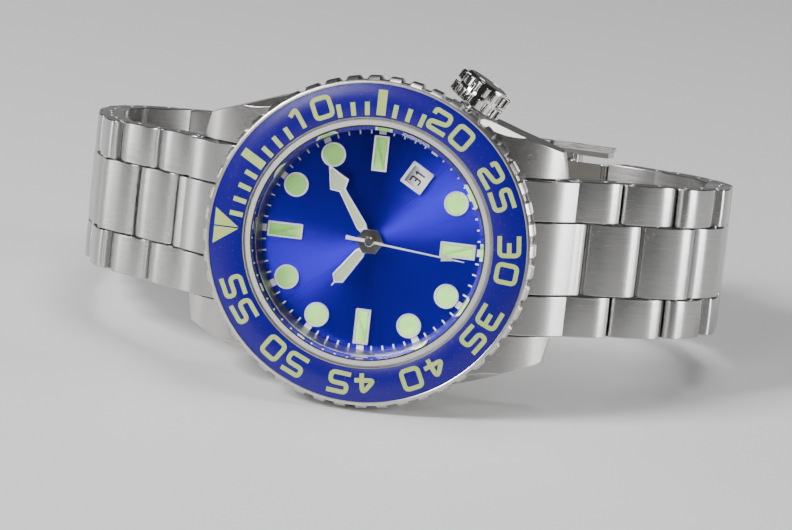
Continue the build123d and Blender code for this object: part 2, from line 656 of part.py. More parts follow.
def safety_flap():
    """Safety catch that folds over the cover's 6 o'clock end, riveted to its side walls."""
    outer = CLASP_HALF + 0.5
    inner = CLASP_HALF + 0.05
    top = COVER_N + COVER_T + 0.06
    flap = bar_box(4.8, FLAP_PIVOT - 1.0, top, top + 0.7, outer)
    flap += bar_box(WALL_START, 6.6, top - 1.6, top + 0.1, outer)
    flap += bar_box(FLAP_PIVOT - 2.4, FLAP_PIVOT, FLAP_N - 1.0, FLAP_N + 0.9, outer)
    flap += eye(FLAP_PIVOT, FLAP_N, 1.0, outer)
    flap -= bar_box(WALL_START - 1, FLAP_PIVOT + 3, -3, top, inner)
    flap -= bar_box(WALL_START - 1, 4.8, -3, top + 1, inner)
    flap -= bar_box(FLAP_PIVOT - 1.0, FLAP_PIVOT + 3, top - 0.1, top + 2, inner)
    for w in (-1, 1):
        flap += Pos(FLAP_PIVOT, FLAP_N, w * (CLASP_HALF - 0.2)) * Cylinder(0.42, 1.3)
    return CLASP_FRAME * flap


def push_button(w):
    """Sprung button in the cover's side wall."""
    button = Pos(BUTTON_S, BUTTON_N, w * (CLASP_HALF - 0.4)) * Cylinder(1.0, 1.7)
    return CLASP_FRAME * button


# ------------------------------------------------------------------------------- assembly
def lay_down(nodes):
    """Location that lays the watch on its side, touching the ground at the bezel and the clasp."""
    clasp = nodes["clasp_cover"].bounding_box()
    flap = nodes["safety_flap"].bounding_box()
    depth = -min(clasp.min.Z, flap.min.Z)
    tilt = atan2(BEZEL_R + flap.min.X, depth + 3.0)
    turn = Plane(origin=(0, 0, 0), x_dir=(0, sin(tilt), cos(tilt)), z_dir=(0, -cos(tilt), sin(tilt)))
    box = Compound(children=[turn.location * shape for shape in nodes.values()]).bounding_box()
    middle = ((box.min.X + box.max.X) / 2, (box.min.Y + box.max.Y) / 2, box.min.Z)
    return Pos(-middle[0], -middle[1], -middle[2]) * turn.location


def build():
    nodes = {
        "mid_case": mid_case(), "case_back": case_back(), "case_back_gasket": case_back_gasket(),
        "crystal": crystal(), "crystal_gasket": crystal_gasket(), "rehaut_ring": rehaut_ring(),
        "dial": dial(), "hour_markers": hour_markers(), "hour_marker_lume": hour_marker_lume(),
        "movement_holder": movement_holder(), "main_plate": main_plate(), "train_bridge": train_bridge(),
        "crown_tube": crown_tube(), "end_link_12": end_link(1), "end_link_6": end_link(-1),
        "lug_spring_bars": lug_spring_bars(), "bezel_click_spring": click_spring(),
        "bezel_ring": bezel_ring(), "bezel_insert": bezel_insert(), "bezel_lume": bezel_lume(),
        "crown": crown(), "winding_stem": winding_stem(), "clutch_wheel": clutch_wheel(),
        "hour_hand": hour_hand(), "minute_hand": minute_hand(), "seconds_hand": seconds_hand(),
        "centre_wheel": centre_wheel(), "third_wheel": third_wheel(), "fourth_wheel": fourth_wheel(),
        "escape_wheel": escape_wheel(), "pallet_fork": pallet_fork(), "balance_wheel": balance_wheel(),
        "mainspring_barrel": barrel(), "minute_wheel": minute_wheel(), "hour_wheel": hour_wheel(),
        "date_ring": date_ring(), "rotor": rotor(),
        "clasp_blade_inner": clasp_blade_inner(), "clasp_blade_outer": clasp_blade_outer(),
        "clasp_cover": clasp_cover(), "safety_flap": safety_flap(),
        "push_button_upper": push_button(-1), "push_button_lower": push_button(1),
    }
    for index in range(len(SLOPES_12)):
        nodes[f"link_12_{index + 1}"] = placed_link(1, PINS_12, SLOPES_12, index)
    for index in range(len(SLOPES_6)):
        nodes[f"link_6_{index + 1}"] = placed_link(-1, PINS_6, SLOPES_6, index)
    return nodes


NODES = build()
LAY_DOWN = lay_down(NODES)
os.makedirs("parts", exist_ok=True)
for name, shape in NODES.items():
    export_step(LAY_DOWN * shape, f"parts/{name}.step")
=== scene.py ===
"""Looks of the diver's watch: bezel, dial, hands, crown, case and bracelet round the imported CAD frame."""
import bpy
import bmesh
import json
from math import atan2, cos, degrees, pi, radians, sin, sqrt
from mathutils import Matrix, Vector


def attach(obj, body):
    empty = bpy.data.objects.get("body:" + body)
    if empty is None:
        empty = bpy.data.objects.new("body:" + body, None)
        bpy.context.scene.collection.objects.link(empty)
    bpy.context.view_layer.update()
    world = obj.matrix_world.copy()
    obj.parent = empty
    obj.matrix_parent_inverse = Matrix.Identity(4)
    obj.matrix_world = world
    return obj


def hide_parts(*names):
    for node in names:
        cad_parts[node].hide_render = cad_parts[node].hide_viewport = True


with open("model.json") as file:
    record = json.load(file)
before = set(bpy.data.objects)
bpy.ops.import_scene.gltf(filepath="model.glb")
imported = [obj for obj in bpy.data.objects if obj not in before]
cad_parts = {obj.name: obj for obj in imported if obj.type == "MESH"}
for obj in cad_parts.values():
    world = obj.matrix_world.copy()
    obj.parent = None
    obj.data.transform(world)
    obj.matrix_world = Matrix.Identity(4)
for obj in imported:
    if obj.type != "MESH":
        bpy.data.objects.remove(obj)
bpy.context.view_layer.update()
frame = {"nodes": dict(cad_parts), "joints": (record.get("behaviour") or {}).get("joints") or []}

MM = 0.001
WELD = 1e-7                                            # metres between points that are one point
JOINTS = {joint["name"]: joint for joint in frame["joints"]}

# ---- the dial's frame, read from the joints: +Z out of the dial, +X to 3 o'clock, +Y to 12 ----------
DIAL_CENTRE = Vector(JOINTS["seconds_turn"]["pos_m"])
OUT = Vector(JOINTS["bezel_turn"]["axis"]).normalized()
THREE = Vector(JOINTS["link_12_1_turn"]["axis"]).normalized()
TWELVE = OUT.cross(THREE)


def rigid(origin, x_axis, y_axis, z_axis):
    """A placing matrix from an origin and three unit axes."""
    columns = Matrix((x_axis, y_axis, z_axis)).transposed().to_4x4()
    columns.translation = origin
    return columns


HEAD = rigid(DIAL_CENTRE, THREE, TWELVE, OUT)


def polar(radius, angle):
    """A point at an angle counted anticlockwise from 3 o'clock, in degrees."""
    return radius * cos(radians(angle)), radius * sin(radians(angle))


def clock_angle(minute):
    """The angle of a minute of the dial, anticlockwise from 3 o'clock."""
    return 90.0 - 6.0 * minute


# ---- mesh helpers (millimetres in, metres out) --------------------------------------------------------
def add_piece(name, shape, place, body, material, replaces=()):
    """A mesh piece in its own frame that rides on a body."""
    mesh = bpy.data.meshes.new(name)
    mesh.from_pydata([Vector(v) * MM for v in shape.verts], [], shape.faces)
    mesh.validate()
    work = bmesh.new()
    work.from_mesh(mesh)
    bmesh.ops.remove_doubles(work, verts=work.verts, dist=WELD)
    bmesh.ops.recalc_face_normals(work, faces=work.faces)
    work.to_mesh(mesh)
    work.free()
    piece = bpy.data.objects.new(name, mesh)
    bpy.context.scene.collection.objects.link(piece)
    piece.matrix_world = place
    mesh.materials.append(material)
    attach(piece, body)
    if replaces:
        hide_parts(*replaces)
    return piece


def smooth(piece, angle=35.0):
    """Smooth shading that keeps edges sharper than the angle."""
    piece.data.shade_smooth()
    work = bmesh.new()
    work.from_mesh(piece.data)
    for edge in work.edges:
        if len(edge.link_faces) == 2 and edge.calc_face_angle() > radians(angle):
            edge.smooth = False
    work.to_mesh(piece.data)
    work.free()
    return piece


def bevel(piece, width, segments=2, angle=30.0):
    """Rounds every edge sharper than the angle, as tumbling and polishing do."""
    modifier = piece.modifiers.new("rounded_edges", "BEVEL")
    modifier.width = width * MM
    modifier.segments = segments
    modifier.limit_method = "ANGLE"
    modifier.angle_limit = radians(angle)
    modifier.harden_normals = True
    piece.data.shade_smooth()
    return piece


def in_head_frame(node, material, body):
    """The node's own shape as a piece whose local axes are the dial's."""
    mesh = frame["nodes"][node].data.copy()
    mesh.transform(HEAD.inverted())
    mesh.materials.clear()
    mesh.materials.append(material)
    piece = bpy.data.objects.new(f"{node}_piece", mesh)
    bpy.context.scene.collection.objects.link(piece)
    piece.matrix_world = HEAD
    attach(piece, body)
    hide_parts(node)
    return piece


class Mesh:
    """Collects vertices and faces of one piece."""

    def __init__(self):
        self.verts = []
        self.faces = []

    def add(self, verts, faces):
        start = len(self.verts)
        self.verts += [tuple(v) for v in verts]
        self.faces += [tuple(start + i for i in face) for face in faces]

    def prism(self, outline, z0, z1, place=Matrix.Identity(4)):
        """A closed outline extruded between two heights."""
        self.frustum(outline, outline, z0, z1, place)

    def frustum(self, low, high, z0, z1, place=Matrix.Identity(4)):
        """Two outlines with the same number of points joined between two heights."""
        n = len(low)
        ring = [place @ Vector((x, y, z0)) for x, y in low] + [place @ Vector((x, y, z1)) for x, y in high]
        sides = [(i, (i + 1) % n, n + (i + 1) % n, n + i) for i in range(n)]
        self.add(ring, sides + [tuple(reversed(range(n))), tuple(range(n, 2 * n))])

    def strip(self, left, right, z0, z1, place=Matrix.Identity(4), closed=True):
        """A raised strip between two lines with the same number of points; an open one gets end faces."""
        n = len(left)
        verts = [place @ Vector((*p, z)) for z in (z0, z1) for side in (left, right) for p in side]
        faces = []
        for i in range(n if closed else n - 1):
            j = (i + 1) % n
            faces += [(i, j, 2 * n + j, 2 * n + i), (n + j, n + i, 3 * n + i, 3 * n + j),
                      (2 * n + i, 2 * n + j, 3 * n + j, 3 * n + i), (j, i, n + i, n + j)]
        if not closed:
            faces += [(0, 2 * n, 3 * n, n), (n - 1, 2 * n - 1, 4 * n - 1, 3 * n - 1)]
        self.add(verts, faces)

    def around(self, sections, closed=True):
        """Joins sections of equal length into a full turn; an open section ends on the axis."""
        n, count = len(sections[0]), len(sections)
        faces = []
        for k in range(count):
            a, b = k * n, (k + 1) % count * n
            for i in range(n if closed else n - 1):
                j = (i + 1) % n
                faces.append((a + i, b + i, b + j, a + j))
        self.add([v for section in sections for v in section], faces)

    def lathe(self, profile, steps, place=Matrix.Identity(4), closed=True):
        """A (radius, height) profile turned about the local Z axis."""
        sections = []
        for k in range(steps):
            turn = 2 * pi * k / steps
            sections.append([place @ Vector((r * cos(turn), r * sin(turn), z)) for r, z in profile])
        self.around(sections, closed)

    def loft(self, rings):
        """Skins closed rings of equal length and caps both ends."""
        n = len(rings[0])
        faces = []
        for k in range(len(rings) - 1):
            for i in range(n):
                j = (i + 1) % n
                faces.append((k * n + i, k * n + j, (k + 1) * n + j, (k + 1) * n + i))
        faces.append(tuple(reversed(range(n))))
        faces.append(tuple(range((len(rings) - 1) * n, len(rings) * n)))
        self.add([v for ring in rings for v in ring], faces)


# ---- materials ------------------------------------------------------------------------------------------
RELIEF = 0.00001                                       # depth of brushing and grain, in metres


def darker(colour, share):
    return [c * share for c in colour]


def new_material(name):
    material = bpy.data.materials.new(name)
    material.use_nodes = True
    nodes = material.node_tree.nodes
    return material, nodes, material.node_tree.links, nodes["Principled BSDF"]


def noise(nodes, links, coordinates, scale, detail=3.0, stretch=(1, 1, 1), rough=0.55):
    mapping = nodes.new("ShaderNodeMapping")
    mapping.inputs["Scale"].default_value = stretch
    links.new(coordinates, mapping.inputs["Vector"])
    texture = nodes.new("ShaderNodeTexNoise")
    texture.inputs["Scale"].default_value = scale
    texture.inputs["Detail"].default_value = detail
    texture.inputs["Roughness"].default_value = rough
    links.new(mapping.outputs["Vector"], texture.inputs["Vector"])
    return texture.outputs["Fac"]


def ramp(nodes, links, value, low, high, from_low=0.3, from_high=0.7):
    """Maps a texture value to a range."""
    node = nodes.new("ShaderNodeMapRange")
    node.inputs["From Min"].default_value = from_low
    node.inputs["From Max"].default_value = from_high
    node.inputs["To Min"].default_value = low
    node.inputs["To Max"].default_value = high
    links.new(value, node.inputs["Value"])
    return node.outputs["Result"]


def mixed_colour(nodes, links, factor, colour_a, colour_b):
    node = nodes.new("ShaderNodeMix")
    node.data_type = "RGBA"
    node.inputs["A"].default_value = (*colour_a, 1)
    node.inputs["B"].default_value = (*colour_b, 1)
    links.new(factor, node.inputs["Factor"])
    return node.outputs["Result"]


def bumped(nodes, links, height, shader, strength, distance, edge=0.0):
    """Fine relief; an edge radius also softens sharp edges, as tumbling does."""
    bump = nodes.new("ShaderNodeBump")
    if edge:
        soft = nodes.new("ShaderNodeBevel")
        soft.samples = 10
        soft.inputs["Radius"].default_value = edge
        links.new(soft.outputs["Normal"], bump.inputs["Normal"])
    bump.inputs["Strength"].default_value = strength
    bump.inputs["Distance"].default_value = distance
    links.new(height, bump.inputs["Height"])
    links.new(bump.outputs["Normal"], shader.inputs["Normal"])


def object_coordinates(nodes):
    return nodes.new("ShaderNodeTexCoord").outputs["Object"]


def brushed_steel(name, grain=(1, 1, 1), colour=(0.54, 0.535, 0.525), rough=(0.21, 0.31), bump=0.24,
                  edge=0.0, across=None):
    """Satin steel: fine scratches drawn out along one local axis; its shine spreads across them."""
    material, nodes, links, shader = new_material(name)
    place = object_coordinates(nodes)
    lines = noise(nodes, links, place, 4200, 4, grain, 0.7)
    cloud = noise(nodes, links, place, 180, 2)
    links.new(mixed_colour(nodes, links, ramp(nodes, links, lines, 0, 1), darker(colour, 0.78), colour),
              shader.inputs["Base Color"])
    wear = nodes.new("ShaderNodeMath")
    wear.operation = "MULTIPLY_ADD"
    links.new(lines, wear.inputs[0])
    wear.inputs[1].default_value = 0.7
    links.new(ramp(nodes, links, cloud, 0.1, 0.2), wear.inputs[2])
    links.new(ramp(nodes, links, wear.outputs[0], *rough, 0.25, 0.85), shader.inputs["Roughness"])
    shader.inputs["Metallic"].default_value = 1.0
    if across:
        direction = nodes.new("ShaderNodeCombineXYZ")
        for axis, value in zip("XYZ", across):
            direction.inputs[axis].default_value = value
        turned = nodes.new("ShaderNodeVectorTransform")
        turned.convert_from = "OBJECT"
        turned.convert_to = "WORLD"
        links.new(direction.outputs["Vector"], turned.inputs["Vector"])
        links.new(turned.outputs["Vector"], shader.inputs["Tangent"])
        shader.inputs["Anisotropic"].default_value = 0.8
    bumped(nodes, links, lines, shader, bump, RELIEF, edge)
    return material


def polished_steel(name, colour=(0.80, 0.79, 0.77), rough=(0.05, 0.12), edge=0.0):
    """Mirror-polished steel with faint wipe marks."""
    material, nodes, links, shader = new_material(name)
    place = object_coordinates(nodes)
    smear = noise(nodes, links, place, 320, 3)
    scratch = noise(nodes, links, place, 2600, 3, (1, 0.2, 1))
    links.new(ramp(nodes, links, smear, *rough), shader.inputs["Roughness"])
    links.new(mixed_colour(nodes, links, smear, darker(colour, 0.94), colour), shader.inputs["Base Color"])
    shader.inputs["Metallic"].default_value = 1.0
    bumped(nodes, links, scratch, shader, 0.05, 0.4 * RELIEF, edge)
    return material


def enamel_blue():
    """Gloss blue bezel insert: deep colour with a fine ceramic grain."""
    material, nodes, links, shader = new_material("bezel_blue_gloss")
    place = object_coordinates(nodes)
    grain = noise(nodes, links, place, 1500, 2)
    cloud = noise(nodes, links, place, 90, 2)
    links.new(mixed_colour(nodes, links, ramp(nodes, links, cloud, 0.2, 0.8), (0.010, 0.001, 0.17),
                           (0.014, 0.001, 0.23)), shader.inputs["Base Color"])
    links.new(ramp(nodes, links, grain, 0.22, 0.28), shader.inputs["Roughness"])
    shader.inputs["Specular IOR Level"].default_value = 0.35
    return material


def sunburst_blue():
    """Dial: radially brushed metal under blue lacquer."""
    material, nodes, links, shader = new_material("dial_sunburst_blue")
    place = object_coordinates(nodes)
    gradient = nodes.new("ShaderNodeTexGradient")
    gradient.gradient_type = "RADIAL"
    links.new(place, gradient.inputs["Vector"])
    turns = nodes.new("ShaderNodeCombineXYZ")
    links.new(gradient.outputs["Fac"], turns.inputs["X"])
    rays = nodes.new("ShaderNodeTexNoise")
    rays.noise_dimensions = "3D"
    rays.inputs["Scale"].default_value = 900
    rays.inputs["Detail"].default_value = 4
    links.new(turns.outputs["Vector"], rays.inputs["Vector"])
    links.new(mixed_colour(nodes, links, ramp(nodes, links, rays.outputs["Fac"], 0, 1),
                           (0.014, 0.002, 0.30), (0.024, 0.004, 0.48)), shader.inputs["Base Color"])
    tangent = nodes.new("ShaderNodeTangent")
    tangent.direction_type = "RADIAL"
    tangent.axis = "Z"
    links.new(tangent.outputs["Tangent"], shader.inputs["Tangent"])
    shader.inputs["Metallic"].default_value = 0.9
    shader.inputs["Anisotropic"].default_value = 0.9
    links.new(ramp(nodes, links, rays.outputs["Fac"], 0.26, 0.36), shader.inputs["Roughness"])
    bumped(nodes, links, rays.outputs["Fac"], shader, 0.08, RELIEF)
    return material


def lume(name, colour, painted_glow=0.0):
    """Luminous paint: chalky, slightly grainy; a painted glow, when given, is emission that makes the fill
    brighter than the lamps light it.
    """
    material, nodes, links, shader = new_material(name)
    place = object_coordinates(nodes)
    grain = noise(nodes, links, place, 6500, 3)
    cloud = noise(nodes, links, place, 600, 2)
    links.new(mixed_colour(nodes, links, ramp(nodes, links, cloud, 0, 1), darker(colour, 0.9), colour),
              shader.inputs["Base Color"])
    links.new(ramp(nodes, links, grain, 0.45, 0.65), shader.inputs["Roughness"])
    bumped(nodes, links, grain, shader, 0.25, RELIEF)
    # painted glow: emission in the paint's colour brightens the fill beyond what the lamps give
    if painted_glow:
        shader.inputs["Emission Color"].default_value = (*colour, 1)
        shader.inputs["Emission Strength"].default_value = painted_glow
    return material


def glass():
    """Crystal: clear glass that lets the lamps reach the dial."""
    material, nodes, links, shader = new_material("crystal_glass")
    shader.inputs["Base Color"].default_value = (1, 1, 1, 1)
    shader.inputs["Transmission Weight"].default_value = 1.0
    shader.inputs["IOR"].default_value = 1.45
    place = object_coordinates(nodes)
    wipe = noise(nodes, links, place, 60, 2)
    links.new(ramp(nodes, links, wipe, 0.0, 0.015), shader.inputs["Roughness"])
    clear = nodes.new("ShaderNodeBsdfTransparent")
    path = nodes.new("ShaderNodeLightPath")
    mix = nodes.new("ShaderNodeMixShader")
    links.new(path.outputs["Is Shadow Ray"], mix.inputs["Fac"])
    links.new(shader.outputs["BSDF"], mix.inputs[1])
    links.new(clear.outputs["BSDF"], mix.inputs[2])
    links.new(mix.outputs["Shader"], nodes["Material Output"].inputs["Surface"])
    return material


def print_ink(name, colour):
    """Pad-printed ink on the dial and date ring."""
    material, nodes, links, shader = new_material(name)
    grain = noise(nodes, links, object_coordinates(nodes), 9000, 2)
    links.new(mixed_colour(nodes, links, grain, darker(colour, 0.85), colour), shader.inputs["Base Color"])
    links.new(ramp(nodes, links, grain, 0.35, 0.5), shader.inputs["Roughness"])
    return material


def rubber():
    material, nodes, links, shader = new_material("seal_rubber")
    grain = noise(nodes, links, object_coordinates(nodes), 4000, 3)
    links.new(mixed_colour(nodes, links, grain, (0.012, 0.012, 0.013), (0.03, 0.03, 0.032)),
              shader.inputs["Base Color"])
    links.new(ramp(nodes, links, grain, 0.5, 0.75), shader.inputs["Roughness"])
    bumped(nodes, links, grain, shader, 0.2, RELIEF)
    return material


def floor_paint():
    material, nodes, links, shader = new_material("floor_pale")
    cloud = noise(nodes, links, object_coordinates(nodes), 6, 2)
    links.new(mixed_colour(nodes, links, cloud, (0.70, 0.70, 0.70), (0.74, 0.74, 0.74)),
              shader.inputs["Base Color"])
    shader.inputs["Roughness"].default_value = 0.5
    return material


STEEL_LONG = brushed_steel("steel_brushed_long", grain=(0.03, 1, 1), across=(0, 0, 1))
STEEL_LUG = brushed_steel("steel_brushed_lug", grain=(1, 0.03, 1), across=(1, 0, 0))
STEEL_CASE = brushed_steel("steel_brushed_case", grain=(1, 0.03, 1), colour=(0.60, 0.59, 0.575), bump=0.12,
                           edge=0.00012)
STEEL_SATIN = brushed_steel("steel_satin", colour=(0.66, 0.64, 0.60), rough=(0.3, 0.42), bump=0.1)
STEEL_BEZEL = brushed_steel("steel_bezel", colour=(0.66, 0.65, 0.63), rough=(0.26, 0.36), bump=0.12)
# neck: the satin roughness is its finish; the near-white colour is a painted sheen in place of a lamp's
# reflection
STEEL_NECK_PAINTED_SHEEN = brushed_steel("steel_neck_painted_sheen", colour=(0.86, 0.85, 0.83), rough=(0.40, 0.48), bump=0.05)
POLISHED = polished_steel("steel_polished")
POLISHED_SOFT = polished_steel("steel_polished_soft", edge=0.0001)
POLISHED_BRIGHT = polished_steel("steel_polished_bright", colour=(0.92, 0.92, 0.93), rough=(0.08, 0.15))
# marker rims and hand outlines: rough steel whose near-white colour is a painted sheen in place of a lamp's
# reflection
WHITE_METAL_PAINTED_SHEEN = polished_steel("steel_white_painted_sheen", colour=(0.95, 0.95, 0.95), rough=(0.34, 0.46))
DARK_POLISHED = polished_steel("steel_polished_flange", colour=(0.40, 0.38, 0.36), rough=(0.32, 0.40))
MOVEMENT = brushed_steel("movement_nickel", grain=(0.1, 1, 1), colour=(0.62, 0.62, 0.63))
BRASS = polished_steel("gilt_brass", colour=(0.80, 0.60, 0.27), rough=(0.15, 0.25))
BEZEL_BLUE = enamel_blue()
DIAL_BLUE = sunburst_blue()
# the dial's lume gets a painted glow: emission that makes it brighter than the lamps light it
LUME_DIAL = lume("lume_dial", (0.38, 0.82, 0.20), 0.16)
LUME_HANDS = lume("lume_hands", (0.36, 0.43, 0.27))
LUME_BEZEL = lume("lume_bezel", (0.47, 0.60, 0.17))
CRYSTAL = glass()
WHITE_INK = print_ink("ink_white", (0.85, 0.87, 0.9))
DARK_INK = print_ink("ink_dark", (0.02, 0.02, 0.03))
DATE_WHITE = print_ink("date_ring_white", (0.80, 0.80, 0.78))
RUBBER = rubber()

CARRIED = {
    "clasp_cover": STEEL_CASE, "safety_flap": STEEL_CASE, "case_back": STEEL_SATIN,
    "case_back_gasket": RUBBER, "crystal_gasket": RUBBER,
    "movement_holder": DATE_WHITE, "date_ring": DATE_WHITE,
    "main_plate": MOVEMENT, "train_bridge": MOVEMENT, "pallet_fork": MOVEMENT, "rotor": MOVEMENT,
    "crown_tube": POLISHED, "lug_spring_bars": POLISHED, "bezel_click_spring": POLISHED,
    "winding_stem": POLISHED, "clutch_wheel": POLISHED,
    "clasp_blade_inner": POLISHED_SOFT, "clasp_blade_outer": POLISHED_SOFT,
    "push_button_upper": POLISHED_SOFT, "push_button_lower": POLISHED_SOFT,
}
BRASS_NODES = ("centre_wheel", "third_wheel", "fourth_wheel", "escape_wheel", "balance_wheel",
               "mainspring_barrel", "minute_wheel", "hour_wheel")


def dress_nodes():
    """Gives every CAD node a material; the replaced ones take any."""
    for name, node in frame["nodes"].items():
        material = CARRIED.get(name, BRASS if name in BRASS_NODES else STEEL_LONG)
        node.data.materials.clear()
        node.data.materials.append(material)


dress_nodes()


# ---- outlines ---------------------------------------------------------------------------------------------
INSET_MITRE, STROKE_MITRE = 0.35, 0.55                 # limits on how far a sharp corner's mitre reaches
MIN_TANGENT, CORNER_SHARE = 0.2, 0.45                  # keep a rounded corner inside its two sides


def rounded(points, radius, closed=False, steps=5):
    """Rounds the corners of a path; open ends stay sharp."""
    path = []
    n = len(points)
    for i, corner in enumerate(points):
        if not closed and i in (0, n - 1):
            path.append(Vector(corner))
            continue
        corner = Vector(corner)
        before = Vector(points[i - 1]) - corner
        after = Vector(points[(i + 1) % n]) - corner
        half_turn = before.angle(after) / 2
        reach = min(radius / max(MIN_TANGENT, sin(half_turn) / cos(half_turn)),
                    CORNER_SHARE * before.length, CORNER_SHARE * after.length)
        a = corner + before.normalized() * reach
        b = corner + after.normalized() * reach
        for k in range(steps + 1):
            t = k / steps
            path.append(a * (1 - t) ** 2 + corner * 2 * t * (1 - t) + b * t ** 2)
    return path


def inset(points, depth):
    """A closed outline drawn in by a depth; the outline runs anticlockwise."""
    result = []
    n = len(points)
    for i in range(n):
        here = Vector(points[i])
        to_here = (here - Vector(points[i - 1])).normalized()
        onward = (Vector(points[(i + 1) % n]) - here).normalized()
        normal = Vector((-to_here.y - onward.y, to_here.x + onward.x)).normalized()
        stretch = max(INSET_MITRE, normal.dot(Vector((-onward.y, onward.x))))
        result.append(here + normal * depth / stretch)
    return result


def both_sides(half):
    """A closed anticlockwise outline from its right half, listed from the tail to the tip."""
    return [Vector(p) for p in half] + [Vector((-x, y)) for x, y in reversed(half) if x > 0.001]


def circle(radius, steps=64):
    return [Vector(polar(radius, 360 * k / steps)) for k in range(steps)]


def rectangle(length, width):
    x, y = length / 2, width / 2
    return [Vector((-x, -y)), Vector((x, -y)), Vector((x, y)), Vector((-x, y))]


def band(mesh, outline, width, z0, z1, place=Matrix.Identity(4)):
    """A raised rim that follows the inside of a closed outline."""
    mesh.strip(outline, inset(outline, width), z0, z1, place)


def stroke(mesh, path, half, z0, z1, place=Matrix.Identity(4), closed=False):
    """A pen stroke of constant width along a path, as a raised strip."""
    n = len(path)
    left, right = [], []
    for i, here in enumerate(path):
        before = path[i - 1] if closed or i else here
        after = path[(i + 1) % n] if closed or i < n - 1 else here
        to_here = (here - before).normalized() if i or closed else (after - here).normalized()
        onward = (after - here).normalized() if i < n - 1 or closed else to_here
        normal = Vector((-to_here.y - onward.y, to_here.x + onward.x)).normalized()
        stretch = max(STROKE_MITRE, normal.dot(Vector((-onward.y, onward.x))))
        left.append(here + normal * half / stretch)
        right.append(here - normal * half / stretch)
    mesh.strip(left, right, z0, z1, place, closed)


# ---- numerals: squared strokes with rounded corners --------------------------------------------------------
def digit_paths(digit, width, height, half):
    """Centre lines of a numeral in a box from (0, 0); each is (points, closed)."""
    left, right, low, top = half, width - half, half, height - half
    middle = height / 2
    stem = 0.66 * width
    bar = 0.30 * height
    paths = {
        "0": [([(left, low), (right, low), (right, top), (left, top)], True)],
        "1": [([(0.22 * width, 0.70 * height), (0.60 * width, top), (0.60 * width, 0)], False)],
        "2": [([(left, 0.68 * height), (left, top), (right, top), (right, middle), (left, 0.36 * height),
                (left, low), (width, low)], False)],
        "3": [([(0, top), (right, top), (right, low), (0, low)], False),
              ([(0.32 * width, middle), (right - half, middle)], False)],
        "4": [([(stem, 0), (stem, top), (left, bar), (stem - half, bar)], False),
              ([(stem + half, bar), (width, bar)], False)],
        "5": [([(width, top), (left, top), (left, 0.54 * height), (right, 0.54 * height), (right, low),
                (0, low)], False)],
        "6": [([(width, top), (left, top), (left, low), (right, low), (right, middle),
                (left + half, middle)], False)],
        "7": [([(0, top), (right, top), (0.38 * width, 0)], False)],
        "8": [([(left, low), (right, low), (right, top), (left, top)], True),
              ([(left + half, middle), (right - half, middle)], False)],
        "9": [([(0, low), (right, low), (right, top), (left, top), (left, middle),
                (right - half, middle)], False)],
    }
    return paths[digit]


def numeral(mesh, digit, width, height, half, z0, z1, place, radius):
    """A numeral centred on a place; half is half the stroke's width."""
    for points, closed in digit_paths(digit, width, height, half):
        path = rounded([Vector(p) - Vector((width / 2, height / 2)) for p in points], radius, closed)
        stroke(mesh, path, half, z0, z1, place, closed)


# ---- case, bezel and crystal ------------------------------------------------------------------------------
BEZEL_R, BEZEL_BORE_R, BEZEL_RIM_R = 22.9, 17.15, 22.30
BEZEL_TEETH, TOOTH_DEPTH, TOOTH_SECTIONS = 48, 0.55, 16
INSERT_IN_R, INSERT_OUT_R = 17.35, 21.9
INSERT_TOP_IN, INSERT_TOP_OUT, INSERT_BED = 5.55, 5.3, 4.7
CRYSTAL_R, CRYSTAL_LOW, CRYSTAL_TOP = 16.0, 3.2, 5.6
NECK_Z, NECK_R = 2.4, 17.2                             # the case's neck lies above and inside these
TURN_STEPS = 256
PRINT_LOW, PRINT_H = -0.1, 0.035                       # printed marks, from inside their bed to above it


def insert_place(radius, angle):
    """A frame lying on the insert's slightly sloping top: +Y outwards, +X clockwise."""
    slope = atan2(INSERT_TOP_IN - INSERT_TOP_OUT, INSERT_OUT_R - INSERT_IN_R)
    height = INSERT_TOP_IN - (radius - INSERT_IN_R) * sin(slope) / cos(slope)
    place = Matrix.Translation((*polar(radius, angle), height))
    return place @ Matrix.Rotation(radians(angle - 90), 4, "Z") @ Matrix.Rotation(-slope, 4, "X")


def add_case():
    """The case; the neck that holds the crystal is rough satin steel, and its near-white colour is a painted
    sheen in place of reflected light.
    """
    case = smooth(in_head_frame("mid_case", STEEL_CASE, "case"), 28)
    case.data.materials.append(STEEL_NECK_PAINTED_SHEEN)
    for face in case.data.polygons:
        centre = face.center / MM
        if centre.z > NECK_Z and centre.xy.length < NECK_R:
            face.material_index = 1


def add_bezel_ring():
    """Coin-edge ring: teeth with soft shoulders, drawn in towards a bevelled rim."""
    bore, seat, bed = BEZEL_BORE_R, INSERT_OUT_R, INSERT_BED
    count = BEZEL_TEETH * TOOTH_SECTIONS
    sections = []
    for k in range(count):
        away = abs(k % TOOTH_SECTIONS / TOOTH_SECTIONS - 0.5) * 2      # 0 mid-gap, 1 mid-tooth
        rise = min(1.0, max(0.0, (away - 0.24) / 0.26))
        rise = rise * rise * (3 - 2 * rise)
        out = BEZEL_R - TOOTH_DEPTH * (1 - rise)
        rim = min(out - 0.05, BEZEL_RIM_R)
        profile = [(bore, 1.26), (out - 0.72, 1.26), (out - 0.15, 1.75), (out, 1.95), (out, 4.42),
                   (out - 0.10, 4.62), (rim + 0.10, 5.28), (rim, 5.36), (22.14, 5.40), (21.98, 5.40),
                   (21.92, 5.36), (seat, 5.28), (seat, bed), (INSERT_IN_R, bed), (INSERT_IN_R, 5.28),
                   (17.31, 5.35), (17.19, 5.35), (bore, 5.3)]
        angle = 360 * (k + TOOTH_SECTIONS / 2) / count
        sections.append([(*polar(radius, angle), height) for radius, height in profile])
    mesh = Mesh()
    mesh.around(sections)
    ring = add_piece("bezel_coin_edge", mesh, HEAD, "bezel", STEEL_BEZEL, ["bezel_ring"])
    smooth(ring, 32)


